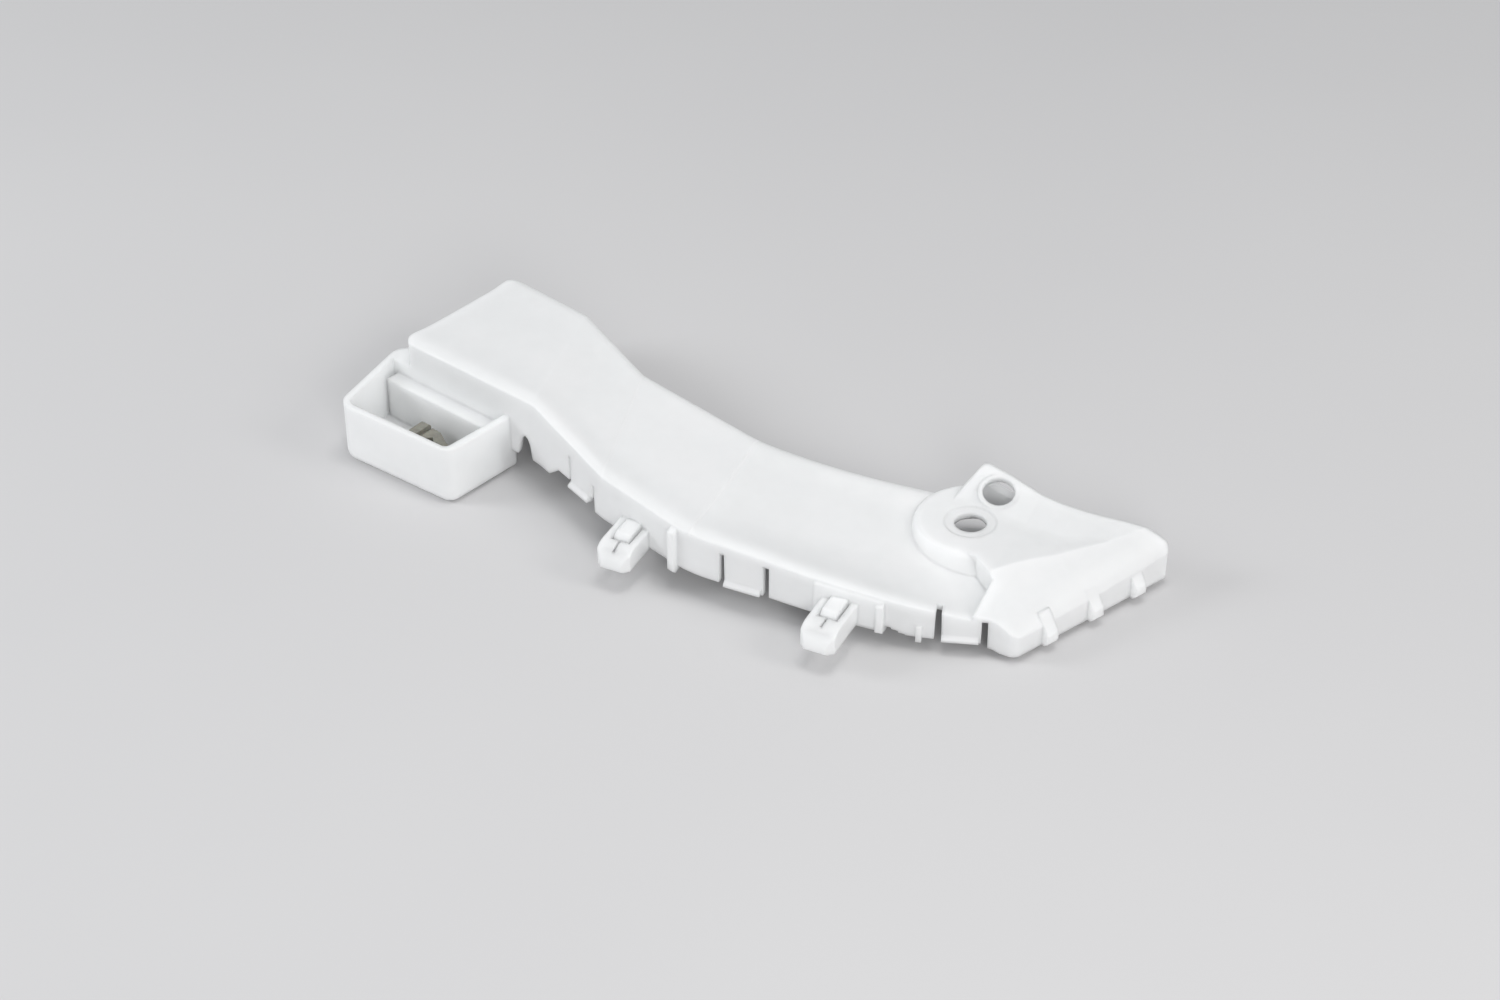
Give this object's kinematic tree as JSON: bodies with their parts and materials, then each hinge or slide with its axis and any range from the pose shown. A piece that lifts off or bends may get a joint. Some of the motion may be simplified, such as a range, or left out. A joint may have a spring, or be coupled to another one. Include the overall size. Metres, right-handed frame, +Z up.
{
  "type": "bumper mounting bracket",
  "caption": "Moulded arm bracket that carries the end of a bumper: screw boss and screw tab at one end, open tray at the other, with snap prongs along its edge.",
  "frame": {"origin": "centre of the screw boss's hole, on the face that the screw head seats on", "axes": "+X along the arm away from the tray, +Y to the edge without prongs, +Z up, out of the screw boss"},
  "size_m": [0.2611, 0.1095, 0.0311],
  "materials": {
    "polypropylene": "milky moulded, satin",
    "nylon": "moulded, satin"
  },
  "bodies": {
    "root": {"bracket": "polypropylene", "grommet": "nylon"}
  },
  "joints": []
}
